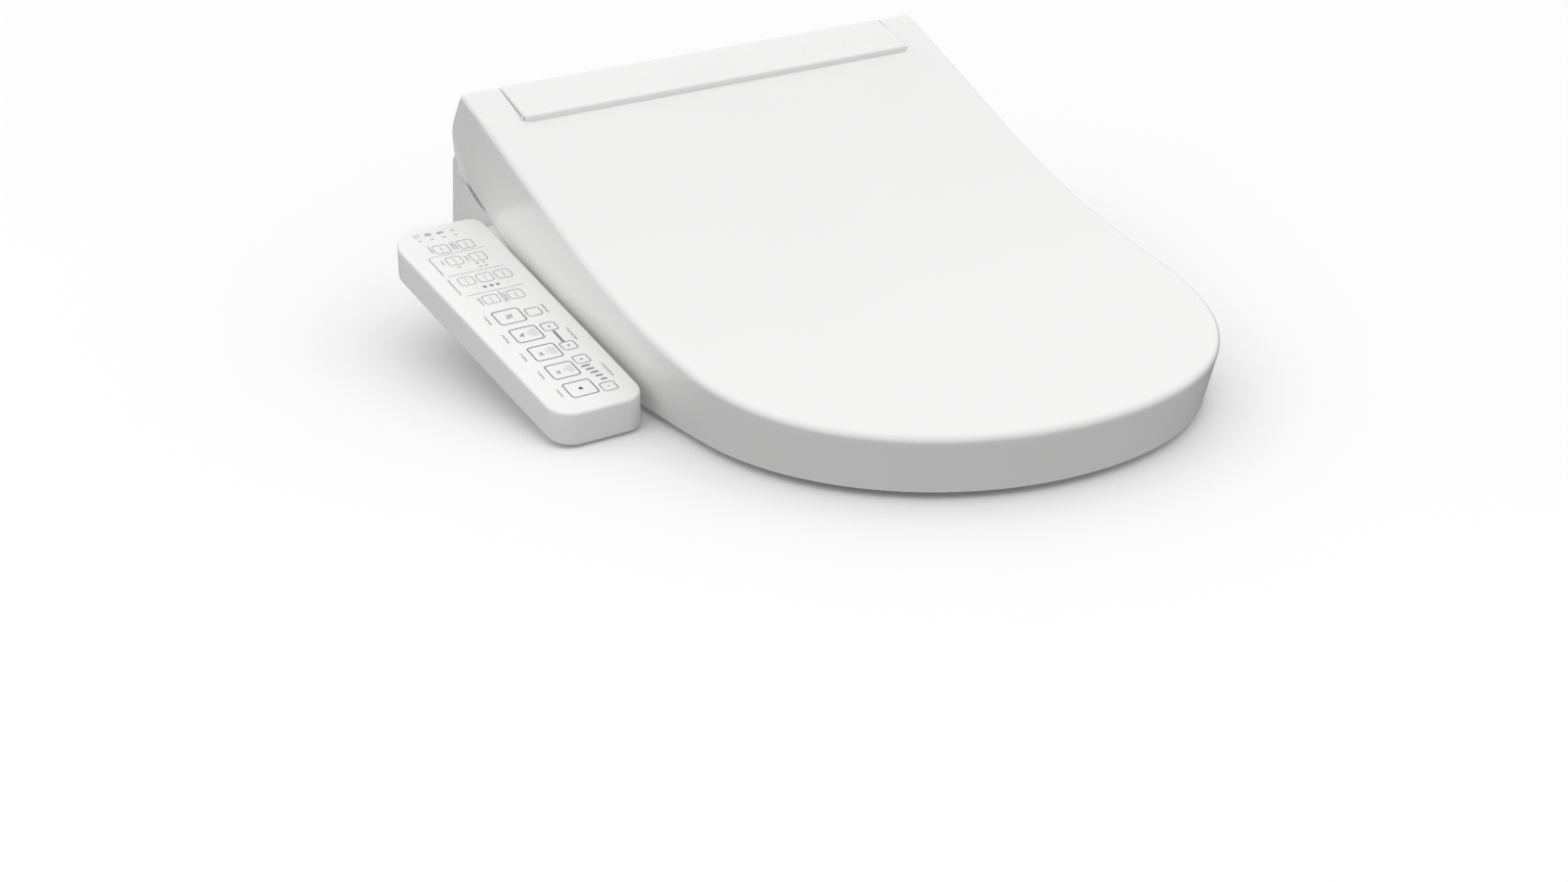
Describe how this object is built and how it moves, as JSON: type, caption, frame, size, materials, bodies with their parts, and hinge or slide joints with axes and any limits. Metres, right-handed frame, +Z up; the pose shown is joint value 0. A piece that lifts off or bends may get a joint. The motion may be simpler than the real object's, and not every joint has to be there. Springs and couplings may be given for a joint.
{
  "type": "electric bidet seat",
  "caption": "Electric bidet seat with a sloping closed lid, a heated seat ring, a rear base unit with a retracting nozzle and a sloping side arm of push keys.",
  "frame": {"origin": "midway between the two bowl bolt holes, on the plane of the bowl rim", "axes": "+Z up, -Y towards the front of the seat, the control arm is on -X"},
  "size_m": [0.4712, 0.518, 0.1615],
  "materials": {
    "lid_white": "satin gloss",
    "cover_white": "satin gloss",
    "seat_white": "gloss",
    "case_white": "satin",
    "arm_white": "satin",
    "key_white": "satin",
    "print_grey": "matt",
    "rubber_grey": "matt",
    "rubber_white": "matt",
    "pin_steel": "turned",
    "screw_steel": "plated",
    "plate_grey": "matt",
    "latch_grey": "matt",
    "inlet_chrome": "polished",
    "strainer_mesh": "woven",
    "valve_black": "matt",
    "tank_plastic": "matt",
    "pump_black": "matt",
    "wand_white": "gloss",
    "guide_grey": "matt",
    "motor_can": "zinc plated",
    "fan_black": "matt",
    "flap_grey": "matt",
    "filter_carbon": "matt",
    "board_green": "solder mask",
    "module_black": "potted",
    "damper_grey": "matt",
    "foil_silver": "foil",
    "button_white": "satin"
  },
  "bodies": {
    "base": {"base_lower_case": "case_white", "base_upper_housing": "case_white", "base_rear_cover": "case_white", "hinge_pins": "pin_steel", "soft_close_dampers": "damper_grey", "base_feet": "rubber_grey", "mounting_plate": "plate_grey", "plate_latch": "latch_grey", "inlet_nipple": "inlet_chrome", "inlet_strainer": "strainer_mesh", "solenoid_valve": "valve_black", "heater_tank": "tank_plastic", "water_pump": "pump_black", "nozzle_guide": "guide_grey", "nozzle_motor": "motor_can", "dryer_fan": "fan_black", "odour_fan": "fan_black", "main_board": "board_green", "power_module": "module_black", "cord_gland": "rubber_grey", "arm_lower_shell": "arm_white", "arm_top_cover": "arm_white", "indicator_inlays": "print_grey", "setup_key_pad": "key_white", "key_mat": "rubber_grey", "control_board": "board_green", "case_screws": "screw_steel"},
    "lid": {"lid_shell": "lid_white", "hinge_cover": "cover_white", "lid_bumpers": "rubber_white"},
    "seat": {"seat_top_shell": "seat_white", "seat_bottom_shell": "case_white", "seat_heater": "foil_silver", "seat_bumpers": "rubber_grey"},
    "nozzle": {"nozzle_wand": "wand_white"},
    "flap": {"dryer_flap": "flap_grey"},
    "filter": {"filter_drawer": "case_white", "filter_block": "filter_carbon"},
    "release": {"release_button": "button_white"},
    "key_stop": {"key_stop": "key_white"},
    "key_rear_wash": {"key_rear_wash": "key_white"},
    "key_soft_wash": {"key_soft_wash": "key_white"},
    "key_front_wash": {"key_front_wash": "key_white"},
    "key_dryer": {"key_dryer": "key_white"},
    "key_memory": {"key_memory": "key_white"},
    "key_position_back": {"key_position_back": "key_white"},
    "key_position_front": {"key_position_front": "key_white"},
    "key_pressure_more": {"key_pressure_more": "key_white"},
    "key_pressure_less": {"key_pressure_less": "key_white"}
  },
  "joints": [
    {"name": "lid_hinge", "type": "hinge", "parent": "base", "child": "lid", "pos_m": [0, -0.015, 0.128], "axis": [-1, 0, 0], "range_deg": [0, 100]},
    {"name": "seat_hinge", "type": "hinge", "parent": "base", "child": "seat", "pos_m": [0, -0.015, 0.128], "axis": [-1, 0, 0], "range_deg": [0, 90]},
    {"name": "nozzle_slide", "type": "slide", "parent": "base", "child": "nozzle", "axis": [0, -0.9848, -0.1736], "range_m": [0, 0.095]},
    {"name": "dryer_flap_hinge", "type": "hinge", "parent": "base", "child": "flap", "pos_m": [-0.056, -0.1062, 0.0302], "axis": [-1, 0, 0], "range_deg": [-70, 0]},
    {"name": "filter_slide", "type": "slide", "parent": "base", "child": "filter", "axis": [1, 0, 0], "range_m": [0, 0.055]},
    {"name": "release_button_press", "type": "slide", "parent": "base", "child": "release", "axis": [-1, 0, 0], "range_m": [0, 0.003], "stiffness_N_per_m": 900},
    {"name": "key_stop_press", "type": "slide", "parent": "base", "child": "key_stop", "axis": [0, 0.2299, -0.9732], "range_m": [0, 0.0006], "stiffness_N_per_m": 900},
    {"name": "key_rear_wash_press", "type": "slide", "parent": "base", "child": "key_rear_wash", "axis": [0, 0.2299, -0.9732], "range_m": [0, 0.0006], "stiffness_N_per_m": 900},
    {"name": "key_soft_wash_press", "type": "slide", "parent": "base", "child": "key_soft_wash", "axis": [0, 0.2299, -0.9732], "range_m": [0, 0.0006], "stiffness_N_per_m": 900},
    {"name": "key_front_wash_press", "type": "slide", "parent": "base", "child": "key_front_wash", "axis": [0, 0.2299, -0.9732], "range_m": [0, 0.0006], "stiffness_N_per_m": 900},
    {"name": "key_dryer_press", "type": "slide", "parent": "base", "child": "key_dryer", "axis": [0, 0.2299, -0.9732], "range_m": [0, 0.0006], "stiffness_N_per_m": 900},
    {"name": "key_memory_press", "type": "slide", "parent": "base", "child": "key_memory", "axis": [0, 0.2299, -0.9732], "range_m": [0, 0.0006], "stiffness_N_per_m": 900},
    {"name": "key_position_back_press", "type": "slide", "parent": "base", "child": "key_position_back", "axis": [0, 0.2299, -0.9732], "range_m": [0, 0.0006], "stiffness_N_per_m": 900},
    {"name": "key_position_front_press", "type": "slide", "parent": "base", "child": "key_position_front", "axis": [0, 0.2299, -0.9732], "range_m": [0, 0.0006], "stiffness_N_per_m": 900},
    {"name": "key_pressure_more_press", "type": "slide", "parent": "base", "child": "key_pressure_more", "axis": [0, 0.2299, -0.9732], "range_m": [0, 0.0006], "stiffness_N_per_m": 900},
    {"name": "key_pressure_less_press", "type": "slide", "parent": "base", "child": "key_pressure_less", "axis": [0, 0.2299, -0.9732], "range_m": [0, 0.0006], "stiffness_N_per_m": 900}
  ],
  "couplings": [
    {"joint": "seat_hinge", "follows": "lid_hinge", "ratio": 0.9}
  ]
}
